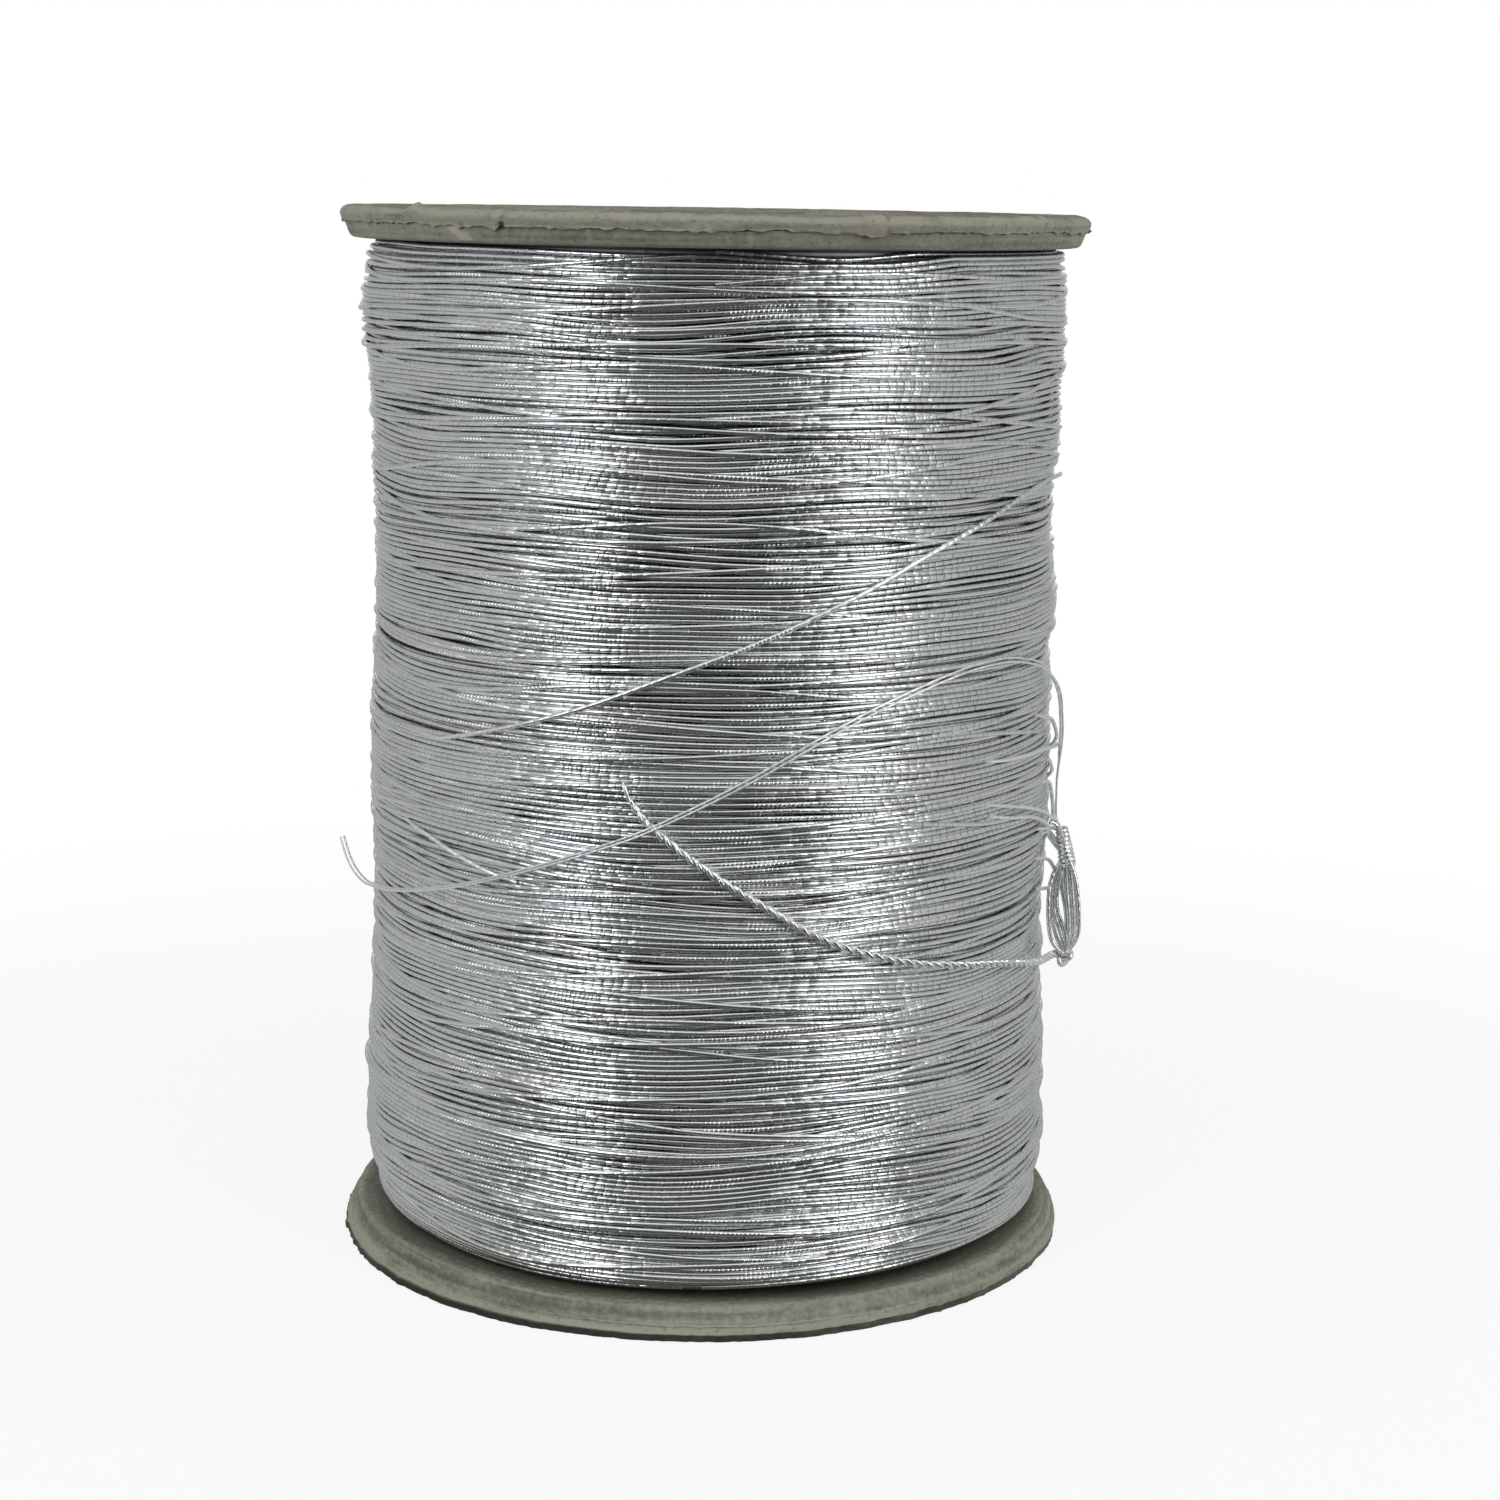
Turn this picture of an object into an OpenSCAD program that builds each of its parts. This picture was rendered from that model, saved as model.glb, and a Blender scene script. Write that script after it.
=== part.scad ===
// Reel of silver metallic thread on a small flanged spool, standing on one flange.
// Millimetres, +Z up along the spindle bore, origin at the centre of the lower end.
// The spool is one moulding. The thread's inner layers are a plain core, its last pass
// is one tube wound over them, and its loose ends lie on it or hang from it.

/* [Spool] */
// Diameter over the flanges
flange_d = 50; // [44:0.5:60]
// Overall height, outer face to outer face
overall_h = 70; // [50:1:120]
// Thickness of a flange at its rim
flange_t = 2.1; // [1.8:0.1:4]
// Outside diameter of the barrel that the thread is wound on
barrel_d = 26; // [23:0.5:30]
// Wall of the barrel at its mouths
barrel_wall = 1.6; // [1.2:0.1:2.4]
// Diameter of the spindle bore
bore_d = 9; // [6:0.5:10]
// Wall of the spindle tube
tube_wall = 1.4; // [1:0.1:2]
// Fillet where the barrel meets a flange
root_fillet = 1; // [0.4:0.1:1.5]

/* [Ends] */
// Depth of the recess in each end face
recess_depth = 0.6; // [0.3:0.1:1]
// Width of the raised rim round each recess
rim_w = 2.4; // [1.5:0.1:4]
// Number of ribs between the spindle tube and the barrel
rib_count = 6; // [3:1:8]
// Thickness of a rib
rib_t = 1.2; // [0.8:0.1:2]
// Thickness of the web that closes the pockets at mid height
web_t = 2; // [1:0.5:6]
// Taper of a pocket's walls, from its mouth to its floor
pocket_draft = 0.5; // [0.2:0.1:0.8]
// Chamfer at each mouth of the bore
bore_lead = 0.4; // [0.1:0.1:0.8]

/* [Rim] */
// Distance of the moulding's parting line from the end face
parting_z = 1; // [0.8:0.1:1.2]
// How far the rim draws in from its widest ridge to the parting line
rim_taper = 0.2; // [0.15:0.05:0.4]
// Height of the flash along the parting line
flash_h = 0.1; // [0.05:0.01:0.15]
// Width of the bevel at a flange's outer edge
outer_bevel = 0.4; // [0.2:0.1:0.8]
// Width of the bevel between the parting line and the thread
inner_bevel = 0.75; // [0.4:0.05:1.5]

/* [Winding] */
// Diameter over the thread, just under the upper flange
wind_top_d = 46.4; // [42:0.2:47]
// Diameter over the thread, where it is fullest near the lower flange
wind_low_d = 47.4; // [42:0.2:47.8]
// Diameter over the thread, where it meets the lower flange
wind_foot_d = 43.6; // [40:0.2:46]
// Height of the rounded foot of the winding
wind_foot_h = 1.6; // [1.4:0.1:4]
// Diameter of the thread
thread_d = 0.35; // [0.3:0.01:0.45]
// Turns of the last pass, from flange to flange
pass_turns = 24; // [12:1:24]

/* [Loose ends] */
// Diameter of the twisted, doubled thread end
twisted_d = 0.5; // [0.4:0.01:0.6]
// Loops in the small hank that ties off the thread
hank_loops = 4; // [2:1:6]
// Width of a hank loop, centre to centre of its two runs
hank_w = 1.7; // [1.4:0.1:2.4]
// Height of a hank loop, centre to centre
hank_h = 5.6; // [4:0.1:8]
// Diameter of the tight turns round the hank's neck
wrap_d = 1.2; // [1:0.1:1.6]
// Diameter of the knot under the hank
knot_d = 1.3; // [1:0.1:1.8]

/* [Hidden] */

$fn = 96;
plastic = [0.47, 0.47, 0.42];
silver = [0.74, 0.76, 0.78];
eps = 0.01;                          // overrun of a cut past the face that it opens

rim_r = flange_d / 2;                // radius of a flange at its ridge
parting_r = rim_r - rim_taper;       // and at its parting line
barrel_r = barrel_d / 2;
bore_r = bore_d / 2;
tube_r = bore_r + tube_wall;
pocket_r = barrel_r - barrel_wall;   // pocket's outer radius at its mouth
tube_ledge = 0.2;                    // step round the spindle tube, inside each pocket's mouth
flash_w = 0.12;                      // half the width of the flash at its foot
bevel_z = min(outer_bevel + 0.1, parting_z - 3 * flash_w);  // height of the ridge above the end face
slide_step = 0.08;                   // how far the mould's side slides sit inside the end plates

seat_gap = 0.05;                     // clearance of wound thread from what it lies on
lay_gap = 0.05;                      // clearance of a loose end from the thread under it
pass_rings = 24;                     // rings in one turn of a wound tube
wound_sides = 6;
cord_sides = 8;
chord_sag = wind_low_d / 2 * (1 - cos(180 / pass_rings));  // a turn's chords dip this far
core_inset = thread_d + chord_sag + seat_gap;              // core below the outermost thread
wind_z0 = flange_t + seat_gap;
wind_z1 = overall_h - flange_t - seat_gap;

// Outermost radius of the winding at a height: a rounded foot, then a slow taper
function wind_r(z) =
    let (up = (z - wind_z0) / wind_foot_h,
         low_r = wind_low_d / 2,
         foot_r = wind_foot_d / 2,
         top_r = wind_top_d / 2)
    up < 1
        ? foot_r + (low_r - foot_r) * sin(90 * max(up, 0))
        : low_r + (top_r - low_r) * (z - wind_z0 - wind_foot_h) / (wind_z1 - wind_z0 - wind_foot_h);

// A place round the reel: degrees from the front towards +X, radius and height
function place(around, r, z) = [r * sin(around), -r * cos(around), z];

function unit(v) = v / norm(v);
function along(p) = [for (i = [0 : len(p) - 1]) unit(p[min(i + 1, len(p) - 1)] - p[max(i - 1, 0)])];
function square_to(v, t) = unit(v - (v * t) * t);
// Side vectors carried along the path without twist
function carried(t, v0) = [
    for (i = 0, v = square_to(v0, t[0]); i < len(t); i = i + 1, v = i < len(t) ? square_to(v, t[i]) : v) v
];
function swept(p, d, sides, v0) =
    let (t = along(p), v = carried(t, v0))
    [for (i = [0 : len(p) - 1], k = [0 : sides - 1])
        p[i] + d / 2 * (cos(360 * k / sides) * v[i] + sin(360 * k / sides) * cross(t[i], v[i]))];
function next(k, sides) = (k + 1) % sides;
function skin(rings, sides) = [
    for (i = [0 : rings - 2], k = [0 : sides - 1], half = [0, 1])
        let (a = i * sides + k,
             b = i * sides + next(k, sides),
             c = b + sides,
             e = a + sides)
        half == 0 ? [a, c, b] : [a, e, c]
];
function caps(rings, sides) = [
    for (k = [1 : sides - 2], end = [0, 1])
        let (base = (rings - 1) * sides)
        end == 0 ? [0, k, k + 1] : [base, base + k + 1, base + k]
];
module tube(p, d, sides, v0) {
    polyhedron(points = swept(p, d, sides, v0),
               faces = concat(skin(len(p), sides), caps(len(p), sides)), convexity = 10);
}

// Smooth curve through every point of a route, with some steps in each span
function curve(p, steps) = concat([
    for (i = [0 : len(p) - 2], k = [0 : steps - 1])
        let (u = k / steps,
             a = p[max(i - 1, 0)],
             b = p[i],
             c = p[i + 1],
             e = p[min(i + 2, len(p) - 1)])
        b + u * (c - a) / 2 + u * u * (a - 2.5 * b + 2 * c - e / 2) + u * u * u * (1.5 * (b - c) + (e - a) / 2)
], [p[len(p) - 1]]);

// Least gap of a tube to itself, measured between its points at least some rings apart
function self_gap(p, d, apart) = min([
    for (i = [0 : len(p) - 1 - apart]) min([for (j = [i + apart : len(p) - 1]) norm(p[i] - p[j])])
]) - d;

// ---- spool ----

fillet_steps = 4;
// One end of the spool's outline, from the axis out round the rim and in to the barrel
end_outline = concat([
    [0, 0],
    [tube_r, 0],
    [tube_r, recess_depth],
    [rim_r - rim_w, recess_depth],
    [rim_r - rim_w + recess_depth / 2, 0],
    [rim_r - outer_bevel, 0],
    [rim_r, bevel_z],
    [parting_r, parting_z - flash_w],
    [parting_r + flash_h, parting_z],
    [parting_r - slide_step, parting_z + flash_w],
    [rim_r - inner_bevel, flange_t]
], [
    for (i = [0 : fillet_steps])
        let (a = 90 * i / fillet_steps)
        [barrel_r + root_fillet * (1 - sin(a)), flange_t + root_fillet * (1 - cos(a))]
]);
spool_outline = concat(end_outline, [
    for (i = [len(end_outline) - 1 : -1 : 0]) [end_outline[i].x, overall_h - end_outline[i].y]
]);

// One ring of pockets, open at the lower end and closed by the web
module pockets() {
    deep = (overall_h - web_t) / 2;
    difference() {
        rotate_extrude()
            polygon([
                [tube_r + tube_ledge, recess_depth - eps],
                [pocket_r, recess_depth - eps],
                [pocket_r - pocket_draft, deep],
                [tube_r + tube_ledge + pocket_draft, deep]
            ]);
        for (i = [0 : rib_count - 1])
            rotate([0, 0, 360 * i / rib_count])
                translate([0, -rib_t / 2, 0])
                    cube([barrel_r, rib_t, overall_h / 2]);
    }
}

module spool_body() {
    color(plastic)
        difference() {
            rotate_extrude()
                polygon(spool_outline);
            pockets();
            translate([0, 0, overall_h])
                mirror([0, 0, 1])
                    pockets();
            translate([0, 0, -eps])
                cylinder(r = bore_r, h = overall_h + 2 * eps);
            translate([0, 0, -eps])
                cylinder(r1 = bore_r + bore_lead + eps, r2 = bore_r, h = bore_lead + eps);
            translate([0, 0, overall_h - bore_lead])
                cylinder(r1 = bore_r, r2 = bore_r + bore_lead + eps, h = bore_lead + eps);
        }
}

// ---- thread on the barrel ----

core_steps = 6;
corner = root_fillet;                // the core's inner corners clear the barrel's fillets
core_outline = concat([
    [barrel_r + seat_gap, wind_z1 - corner],
    [barrel_r + seat_gap, wind_z0 + corner],
    [barrel_r + seat_gap + corner, wind_z0]
], [
    for (i = [0 : core_steps])
        let (z = wind_z0 + wind_foot_h * i / core_steps)
        [wind_r(z) - core_inset, z]
], [
    [wind_r(wind_z1) - core_inset, wind_z1],
    [barrel_r + seat_gap + corner, wind_z1]
]);
module winding_core() {
    color(silver)
        rotate_extrude()
            polygon(core_outline);
}

pass_z0 = wind_z0 + 3 * thread_d;   // the first turn clears the steep foot of the core
pass_z1 = wind_z1 - thread_d;
pass_steps = pass_turns * pass_rings;
function on_winding(around, z) = place(around, wind_r(z) - thread_d / 2, z);
// A place some way out from the core, square to its face there
function tucked(around, z, out) =
    let (lean = (wind_r(z + eps) - wind_r(z - eps)) / (2 * eps))
    place(around, wind_r(z) - core_inset, z) + out * unit(place(around, 1, -lean));
// The last pass, its two ends standing square on the core that they tuck into
tuck_z0 = pass_z0 + thread_d;
pass_path = concat(
    [tucked(-360 / pass_rings, tuck_z0, lay_gap), tucked(-360 / pass_rings, tuck_z0, lay_gap + thread_d)],
    [for (i = [0 : pass_steps]) on_winding(360 * i / pass_rings, pass_z0 + (pass_z1 - pass_z0) * i / pass_steps)],
    [tucked(360 / pass_rings, pass_z1, lay_gap + thread_d), tucked(360 / pass_rings, pass_z1, lay_gap)]
);
echo(outer_layer_least_gap = self_gap(pass_path, thread_d, pass_rings / 2));

module outer_layer() {
    color(silver)
        tube(pass_path, thread_d, wound_sides, [0, 0, 1]);
}

// ---- loose ends ----

// A loose end's route: [degrees round from the front, height off the winding, height]
upper_route = [
    [-47, 0, 36.8],
    [-34, 0, 38.1],
    [-20, 0, 39.9],
    [-6, 0, 42.2],
    [8, 0, 44.5],
    [22, 0, 47],
    [35, 0, 49.4],
    [48, 0, 51.2],
    [60, 0, 52.5],
    [72, 0, 53],
    [84, 0.3, 52.9]
];
loose_route = [
    [-88, 2.1, 26.9],
    [-84, 1.3, 25.3],
    [-80, 0.5, 24.6],
    [-74, 0, 24.8],
    [-59, 0, 25.9],
    [-42, 0, 27.6],
    [-26, 0, 29.8],
    [-15, 0.35, 31.6],
    [-9, 0.6, 32.7],
    [-3, 0.35, 33.9],
    [6, 0, 35.8],
    [18, 0, 38.5],
    [30, 0, 40.5],
    [44, 0, 41.8],
    [57, 0, 42],
    [68, 0.1, 41.2],
    [75, 0.4, 39.4],
    [78.5, 0.7, 36.8],
    [80, 0.6, 34.2],
    [81, 0.35, 31.5]
];
twisted_route = [
    [-13, 0, 35.5],
    [-11, 0, 34],
    [-8, 0, 32.7],
    [0, 0, 30.2],
    [9, 0, 27.8],
    [19, 0, 25.4],
    [32, 0, 23.6],
    [52, 0, 21.8],
    [70, 0, 20.2],
    [80, 0.3, 19.2]
];
route_steps = 2;
function laid(route, d) = [
    for (p = curve(route, route_steps)) place(p[0], wind_r(p[2]) + lay_gap + d / 2 + max(p[1], 0), p[2])
];

// The hank hangs beside the winding: [out from the winding, along it, height] on its own axes
hank_around = 83;
hank_mid_z = 23.3;
hank_mid_out = 1.45;
hank_pitch = thread_d + 0.47;
hank_first = 60;                     // degrees round the first loop at which the neck joins it
hank_last = -360 * hank_loops;
hank_steps = round((hank_first - hank_last) / (360 / pass_rings));
hank_shift = -hank_pitch * (hank_loops + 0.5) / 2;
hank_run = (hank_h - hank_w) / 2;
neck_along = hank_shift - 0.45;
neck_foot = [hank_mid_out, neck_along, hank_mid_z + hank_h / 2 + 0.2];
neck_top = [hank_mid_out - 0.6, neck_along, hank_mid_z + hank_h / 2 + 1.8];
root_z = neck_top.z + 0.9;
function beside(p) = place(hank_around, wind_r(hank_mid_z) + p.x, p.z)
    + p.y * [cos(hank_around), sin(hank_around), 0];
// A loop is round at both ends, with two long runs that bulge a little
function loop_point(t) = [
    hank_mid_out + hank_w / 2 * cos(t),
    hank_shift + hank_pitch * (hank_first - t) / 360,
    hank_mid_z + hank_w / 2 * sin(t) + hank_run * max(-1, min(1, 3 * sin(t)))
];
knot_along = hank_shift + hank_pitch * (hank_first - hank_last) / 360;
knot_at = [hank_mid_out - 0.1, knot_along + 0.4, hank_mid_z - hank_h / 2 - knot_d / 2 - 0.3];
root_out = wind_r(root_z) - wind_r(hank_mid_z) + lay_gap;
hank_path = concat(
    [[root_out, neck_along, root_z], [root_out + thread_d, neck_along, root_z]],
    [neck_top + [-0.12, 0, 0.4]],
    [neck_top, (neck_top + neck_foot) / 2, neck_foot],
    [for (i = [0 : hank_steps]) loop_point(hank_first - i * 360 / pass_rings)],
    [
        [hank_mid_out + hank_w / 2 - 0.1, knot_along, hank_mid_z - hank_run * 0.6],
        [knot_at.x + 0.3, knot_along + 0.25, knot_at.z + knot_d / 2 + 0.8],
        knot_at + [0, 0, knot_d / 2 + lay_gap + thread_d],
        knot_at + [0, 0, knot_d / 2 + lay_gap]
    ]
);
hank_line = [for (p = hank_path) beside(p)];
echo(tail_hank_least_gap = self_gap(hank_line, thread_d, pass_rings / 3));

// The loose end comes down beside the neck and ends square on the tight turns round it
neck_dir = unit(beside(neck_top) - beside(neck_foot));
wrap_foot = beside(neck_foot) + 0.15 * neck_dir;
wrap_h = norm(neck_top - neck_foot) - 0.3;
wrap_bore = thread_d + 2 * seat_gap;
beside_neck = (wrap_d + wrap_bore) / 4 * [cos(hank_around), sin(hank_around), 0];
loose_end = wrap_foot + (wrap_h + lay_gap) * neck_dir + beside_neck;
loose_line = concat(laid(loose_route, thread_d), [
    loose_end + 3 * thread_d * neck_dir,
    loose_end + thread_d * neck_dir,
    loose_end
]);
knot_centre = beside(knot_at);
twisted_lead = unit(place(hank_around - 3, wind_r(knot_at.z) + twisted_d, knot_at.z - 0.3) - knot_centre);
twisted_line = concat(laid(twisted_route, twisted_d), [
    knot_centre + (knot_d / 2 + lay_gap + twisted_d) * twisted_lead,
    knot_centre + (knot_d / 2 + lay_gap) * twisted_lead
]);

module upper_tail() {
    color(silver)
        tube(laid(upper_route, thread_d), thread_d, cord_sides, [0, 0, 1]);
}

module loose_tail() {
    color(silver)
        tube(loose_line, thread_d, cord_sides, [0, 0, 1]);
}

module twisted_tail() {
    color(silver)
        tube(twisted_line, twisted_d, cord_sides, [0, 0, 1]);
}

module tail_hank() {
    color(silver)
        tube(hank_line, thread_d, wound_sides, [cos(hank_around), sin(hank_around), 0]);
}

// Tight turns of thread round the neck, as one grooved sleeve on the strand inside it
module hank_wrap() {
    lean = atan2(neck_foot.x - neck_top.x, neck_top.z - neck_foot.z);
    bulge = 0.08;
    color(silver)
        translate(wrap_foot)
            rotate([0, 0, hank_around - 90])
                rotate([0, -lean, 0])
                    rotate_extrude($fn = 24)
                        polygon([
                            [wrap_bore / 2, 0],
                            [wrap_d / 2 - bulge, 0],
                            [wrap_d / 2, wrap_h * 0.3],
                            [wrap_d / 2, wrap_h * 0.7],
                            [wrap_d / 2 - bulge, wrap_h],
                            [wrap_bore / 2, wrap_h]
                        ]);
}

module hank_knot() {
    color(silver)
        translate(knot_centre)
            sphere(d = knot_d, $fn = 24);
}

spool_body();
winding_core();
outer_layer();
upper_tail();
loose_tail();
twisted_tail();
tail_hank();
hank_wrap();
hank_knot();
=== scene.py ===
import math

import bpy
import numpy as np
from mathutils import Matrix, Vector


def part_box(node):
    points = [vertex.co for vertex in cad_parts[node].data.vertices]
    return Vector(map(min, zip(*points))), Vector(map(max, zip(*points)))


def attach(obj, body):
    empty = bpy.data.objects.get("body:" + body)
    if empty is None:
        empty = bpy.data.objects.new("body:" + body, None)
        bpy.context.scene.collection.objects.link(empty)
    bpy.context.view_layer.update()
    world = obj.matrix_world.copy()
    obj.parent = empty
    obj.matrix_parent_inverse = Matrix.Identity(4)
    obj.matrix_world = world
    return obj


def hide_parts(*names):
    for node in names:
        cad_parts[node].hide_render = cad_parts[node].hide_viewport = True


# The looks of a small flanged spool closely wound with silver metallic thread.
# Sizes and places below are in millimetres, and meshes in metres. "Around" is an angle in degrees
# round the reel, from the front (-Y) towards +X.

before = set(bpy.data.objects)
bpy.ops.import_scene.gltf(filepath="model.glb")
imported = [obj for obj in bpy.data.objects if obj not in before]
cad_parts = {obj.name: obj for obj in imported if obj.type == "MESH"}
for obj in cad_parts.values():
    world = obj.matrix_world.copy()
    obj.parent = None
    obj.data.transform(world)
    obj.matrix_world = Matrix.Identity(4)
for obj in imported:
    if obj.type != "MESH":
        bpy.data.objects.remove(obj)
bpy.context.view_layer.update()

MM = 0.001
SEED = 7


# ---- shader and geometry node trees ----


class Num:
    """A number or other value in a node tree. Python's operators on it add Math nodes."""

    def __init__(self, tree, socket):
        self.tree = tree
        self.socket = socket

    def math(self, operation, *others):
        values = dict(enumerate((self, *others)))
        return self.tree.node("ShaderNodeMath", {"operation": operation}, values)

    def other(self, name):
        """Another output of the same node."""
        return Num(self.tree, self.socket.node.outputs[name])

    def __add__(self, value):
        return self.math("ADD", value)

    def __sub__(self, value):
        return self.math("SUBTRACT", value)

    def __rsub__(self, value):
        return (self * -1) + value

    def __mul__(self, value):
        return self.math("MULTIPLY", value)

    def __truediv__(self, value):
        return self.math("DIVIDE", value)

    __radd__ = __add__
    __rmul__ = __mul__


class Tree:
    """A node tree under construction, for a material, the world or geometry."""

    def __init__(self, tree):
        self.tree = tree

    def feed(self, socket, value):
        if isinstance(value, Num):
            value = value.socket
        if isinstance(value, bpy.types.NodeSocket):
            self.tree.links.new(value, socket)
        else:
            socket.default_value = value

    def fill(self, node, inputs):
        for name, value in inputs.items():
            self.feed(node.inputs[name], value)

    def node(self, kind, settings=None, inputs=None, out=0):
        """Adds a node, sets it and the values or links of its sockets, and gives one of its outputs."""
        made = self.tree.nodes.new(kind)
        for name, value in (settings or {}).items():
            setattr(made, name, value)
        self.fill(made, inputs or {})
        return Num(self, made.outputs[out]) if len(made.outputs) else made

    def blend(self, factor, first, second):
        """A colour between two colours."""
        return self.node("ShaderNodeMix", {"data_type": "RGBA"}, {0: factor, 6: first, 7: second}, out=2)

    def noise(self, vector, scale, detail=3.0, roughness=0.55):
        values = {"Vector": vector, "Scale": scale, "Detail": detail, "Roughness": roughness}
        return self.node("ShaderNodeTexNoise", {}, values)

    def parts(self, vector):
        """The x, y and z of a vector."""
        x = self.node("ShaderNodeSeparateXYZ", {}, {0: vector})
        return x, x.other("Y"), x.other("Z")

    def line_noise(self, at, detail):
        """Noise at a place along a line."""
        values = {"W": at, "Scale": 1.0, "Detail": detail}
        return self.node("ShaderNodeTexNoise", {"noise_dimensions": "1D"}, values)

    def ramp(self, value, low, high):
        """0 below low and 1 above high, smooth between."""
        return self.node(
            "ShaderNodeMapRange",
            {"interpolation_type": "SMOOTHSTEP"},
            {"Value": value, "From Min": low, "From Max": high},
        )


def material(name):
    """A new material with its tree and its Principled shader."""
    made = bpy.data.materials.new(name)
    made.use_nodes = True
    return made, Tree(made.node_tree), made.node_tree.nodes["Principled BSDF"]


def add_object(name, data):
    made = bpy.data.objects.new(name, data)
    bpy.context.scene.collection.objects.link(made)
    return made


def as_built(made, name):
    """The mesh that an object's modifiers give."""
    bpy.context.view_layer.update()
    graph = bpy.context.evaluated_depsgraph_get()
    mesh = bpy.data.meshes.new_from_object(made.evaluated_get(graph), depsgraph=graph)
    mesh.name = name
    return mesh


# ---- camera, light and floor ----

camera_place = (0, -196.56, 71.36)
camera_lens = 69.32  # on a 36 mm sensor
camera_down = 0.19167  # radians below level
camera_aside = 0.01439  # radians towards +X
camera_roll = 0.01613


def add_camera():
    data = bpy.data.cameras.new("camera")
    data.lens = camera_lens
    data.sensor_width = 36
    data.clip_start = 0.01
    ahead = Vector((
        math.sin(camera_aside) * math.cos(camera_down),
        math.cos(camera_aside) * math.cos(camera_down),
        -math.sin(camera_down),
    ))
    level = ahead.cross(Vector((0, 0, 1))).normalized()
    upright = level.cross(ahead)
    side = level * math.cos(camera_roll) + upright * math.sin(camera_roll)
    up = upright * math.cos(camera_roll) - level * math.sin(camera_roll)
    camera = add_object("camera", data)
    turned = Matrix((side, up, -ahead)).transposed().to_4x4()
    camera.matrix_world = Matrix.Translation(Vector(camera_place) * MM) @ turned
    bpy.context.scene.camera = camera
    bpy.context.scene.view_settings.view_transform = "Standard"


def add_lamp(name, around, up, distance, width, height, watts):
    """A soft box that faces the middle of the reel."""
    data = bpy.data.lights.new(name, "AREA")
    data.shape = "RECTANGLE"
    data.size = width * MM
    data.size_y = height * MM
    data.energy = watts
    data.color = (0.955, 0.978, 1.02)
    a, e = math.radians(around), math.radians(up)
    away = Vector((math.sin(a) * math.cos(e), -math.cos(a) * math.cos(e), math.sin(e)))
    lamp = add_object(name, data)
    lamp.location = away * distance * MM + Vector((0, 0, reel_h / 2 * MM))
    lamp.rotation_mode = "QUATERNION"
    lamp.rotation_quaternion = away.to_track_quat("Z", "Y")


studio_level = 0.42  # brightness of the studio's walls
studio_front = 0.035  # and of its dark side, behind the camera
studio_top = 0.99
studio_top_fall = 0.54  # the ceiling is that much dimmer behind the reel


def add_world():
    """White behind the reel, grey walls to its sides and a dark side behind the camera."""
    world = bpy.data.worlds.new("studio")
    world.use_nodes = True
    bpy.context.scene.world = world
    tree = Tree(world.node_tree)
    world.node_tree.nodes.clear()
    x, y, z = tree.parts(tree.node("ShaderNodeTexCoord", out="Generated"))
    flat = (x * x + y * y).math("SQRT")
    ahead = (y * -1) / flat
    dark = tree.ramp(ahead, 0.70, 0.97)
    behind = tree.ramp(y, 0.93, 0.98)
    level = studio_level * (1 - dark) + studio_front * dark
    above = tree.ramp(z, 0.15, 0.80)
    level = level * (1 - above) + (studio_top - studio_top_fall * (1 - tree.ramp(ahead, -0.2, 0.8))) * above
    level = level + (1 - studio_level) * behind
    walls = tree.node("ShaderNodeBackground", {}, {"Color": (0.975, 1, 0.985, 1), "Strength": level})
    white = tree.node("ShaderNodeBackground", {}, {"Color": (1, 1, 1, 1), "Strength": 1.0})
    seen = tree.node("ShaderNodeLightPath", out="Is Camera Ray")
    both = tree.node("ShaderNodeMixShader", {}, {0: seen, 1: walls, 2: white})
    tree.node("ShaderNodeOutputWorld", {}, {"Surface": both})


floor_r = 900
floor_fade = (60, 140)  # from the reel's axis: where the floor turns plain white
floor_glow = 0.85  # and how white it is beside the reel, whatever its light


def add_floor():
    mesh = bpy.data.meshes.new("floor")
    corners = [(x * floor_r * MM, y * floor_r * MM, 0) for x, y in ((-1, -1), (1, -1), (1, 1), (-1, 1))]
    mesh.from_pydata(corners, [], [(0, 1, 2, 3)])
    floor = add_object("floor", mesh)
    made, tree, shader = material("white_floor")
    path = tree.node("ShaderNodeLightPath", out="Is Camera Ray")
    x, y, _ = tree.parts(tree.node("ShaderNodeTexCoord", out="Object"))
    out_from_reel = (x * x + y * y).math("SQRT")
    in_front = tree.ramp((y * -1) / out_from_reel, 0.30, 0.75)
    mirrored = tree.blend(in_front, (0.74, 0.74, 0.74, 1), (0.06, 0.06, 0.06, 1))
    seen = tree.blend(path, mirrored, (0.95, 0.95, 0.95, 1))
    tree.fill(shader, {"Base Color": seen, "Roughness": 0.9})
    far = tree.ramp(out_from_reel, floor_fade[0] * MM, floor_fade[1] * MM)
    white = tree.node("ShaderNodeEmission", {}, {"Color": (1, 1, 1, 1), "Strength": 1.0})
    share = path * (floor_glow + (1 - floor_glow) * far)
    both = tree.node("ShaderNodeMixShader", {}, {0: share, 1: shader.outputs[0], 2: white})
    tree.feed(made.node_tree.nodes["Material Output"].inputs["Surface"], both)
    mesh.materials.append(made)


# ---- sizes, from the frame and the part's own dimensions ----

spool_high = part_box("spool_body")[1]
core_low, core_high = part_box("winding_core")
reel_h = spool_high.z / MM
barrel_r = 13.0
wind_top_r = 23.2
wind_low_r = 23.7
wind_foot_r = 21.8
wind_foot_h = 1.6
wind_z0 = core_low.z / MM
wind_z1 = core_high.z / MM
thread_d = 0.32
tail_d = 0.35
upper_d = 0.31
twisted_d = 0.5
lay_gap = 0.03  # between a loose end and the turns that it lies on


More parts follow.
